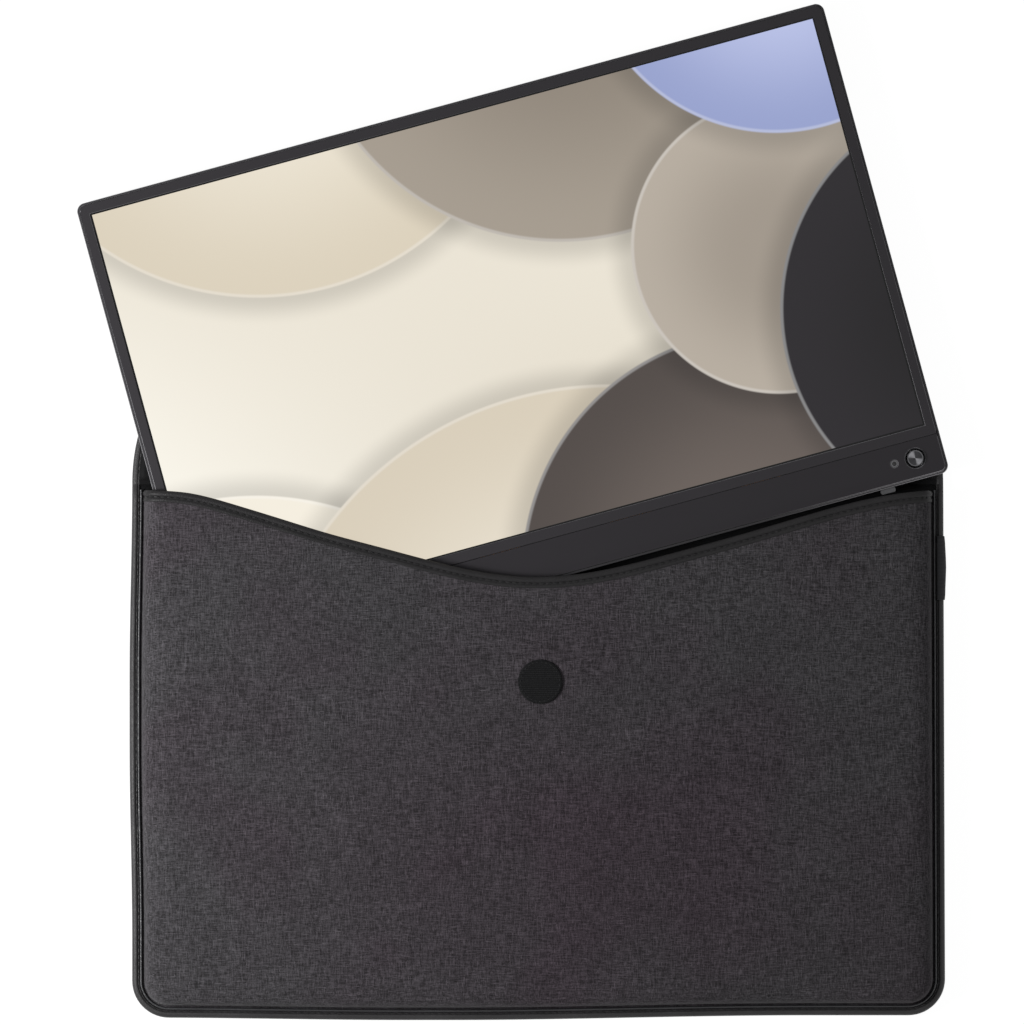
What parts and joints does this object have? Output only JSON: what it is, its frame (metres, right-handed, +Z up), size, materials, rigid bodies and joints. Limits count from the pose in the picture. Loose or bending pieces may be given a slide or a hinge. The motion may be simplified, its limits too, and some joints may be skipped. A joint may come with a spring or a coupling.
{
  "type": "portable monitor with sleeve",
  "caption": "Slim portable monitor lying askew in the wavy mouth of its padded envelope sleeve, flap open, with a joystick on its lower bezel.",
  "frame": {"origin": "centre of the resting face of the sleeve's back panel", "axes": "+Z up out of the picture side, +Y from the sleeve's closed end towards its mouth, +X to the right seen from above"},
  "size_m": [0.4014, 0.4674, 0.0192],
  "materials": {
    "woven_fabric": "coarse heather weave, charcoal",
    "foam": "closed-cell foam padding",
    "lining": "smooth black lining",
    "leatherette": "fine-grained matt leatherette",
    "piping": "tightly wound piping cord",
    "hook_and_loop": "hook and loop tape, near black",
    "ribbon": "woven ribbon",
    "cover_plastic": "fine-textured moulded plastic",
    "bezel_plastic": "fine-textured moulded plastic",
    "chin_plastic": "fine-textured moulded plastic, darker",
    "screen": "lit picture under an anti-glare film",
    "film": "translucent white film",
    "light_guide": "clear acrylic",
    "lamp": "warm white lamps",
    "sheet_metal": "folded bright sheet",
    "frame_plastic": "moulded grey plastic",
    "circuit_board": "green circuit board",
    "flex_amber": "amber flexible circuit",
    "flat_cable": "flat ribbon cable",
    "wire_red": "insulated wire",
    "chip": "moulded chips",
    "steel": "plated steel",
    "port_metal": "drawn steel port shells",
    "port_plastic": "black contact carrier",
    "black_plastic": "black moulded plastic",
    "speaker_cone": "grey pulp cone",
    "rubber": "matt rubber",
    "light_pipe": "frosted clear ring",
    "spun_metal": "dark turned metal with a circular grain"
  },
  "bodies": {
    "sleeve": {"back_outer_fabric": "woven_fabric", "back_foam": "foam", "back_lining": "lining", "front_outer_fabric": "woven_fabric", "front_foam": "foam", "front_lining": "lining", "edge_binding": "leatherette", "piping_cord": "piping", "mouth_trim": "leatherette", "hook_dot": "hook_and_loop", "side_loop": "ribbon"},
    "flap": {"flap_outer_fabric": "woven_fabric", "flap_foam": "foam", "flap_lining": "lining", "flap_binding": "leatherette", "loop_dot": "hook_and_loop"},
    "monitor": {"rear_cover": "cover_plastic", "cover_screws": "steel", "rear_pads": "rubber", "bottom_feet": "rubber", "front_bezel": "bezel_plastic", "chin_cover": "chin_plastic", "lcd_panel": "screen", "optical_films": "film", "light_guide": "light_guide", "reflector_sheet": "film", "led_bar": "lamp", "panel_tray": "sheet_metal", "panel_driver_board": "circuit_board", "panel_flex_tabs": "flex_amber", "mid_frame": "frame_plastic", "main_board": "circuit_board", "board_chips": "chip", "board_shield": "sheet_metal", "board_screws": "steel", "usb_c_shells": "port_metal", "usb_c_tongues": "port_plastic", "hdmi_shell": "port_metal", "hdmi_tongue": "port_plastic", "panel_cable": "flat_cable", "speaker_boxes": "black_plastic", "speaker_cones": "speaker_cone", "speaker_wires": "wire_red", "key_board": "circuit_board", "key_cable": "flat_cable", "power_led": "lamp", "power_light": "light_pipe", "joystick_housing": "black_plastic", "press_dome": "steel"},
    "gimbal": {"gimbal_ring": "steel"},
    "rocker": {"rocker_sleeve": "steel"},
    "joystick": {"joystick_stem": "black_plastic", "joystick_cap": "spun_metal"}
  },
  "joints": [
    {"name": "monitor_slide", "type": "slide", "parent": "sleeve", "child": "monitor", "axis": [0, 1, 0], "range_m": [0, 0.2]},
    {"name": "flap_fold", "type": "hinge", "parent": "sleeve", "child": "flap", "pos_m": [0, 0.1235, -0.00015], "axis": [1, 0, 0], "range_deg": [-178, 0]},
    {"name": "joystick_tilt_up_down", "type": "hinge", "parent": "monitor", "child": "gimbal", "pos_m": [0.17439, 0.13452, 0.0091], "axis": [0.9648, 0.2629, 0], "range_deg": [-4, 4], "stiffness_Nm_per_rad": 0.03},
    {"name": "joystick_tilt_left_right", "type": "hinge", "parent": "gimbal", "child": "rocker", "pos_m": [0.17439, 0.13452, 0.0091], "axis": [-0.2629, 0.9648, 0], "range_deg": [-4, 4], "stiffness_Nm_per_rad": 0.03},
    {"name": "joystick_press", "type": "slide", "parent": "rocker", "child": "joystick", "axis": [0, 0, -1], "range_m": [0, 0.0005], "stiffness_N_per_m": 900, "springref_m": -0.0005}
  ]
}
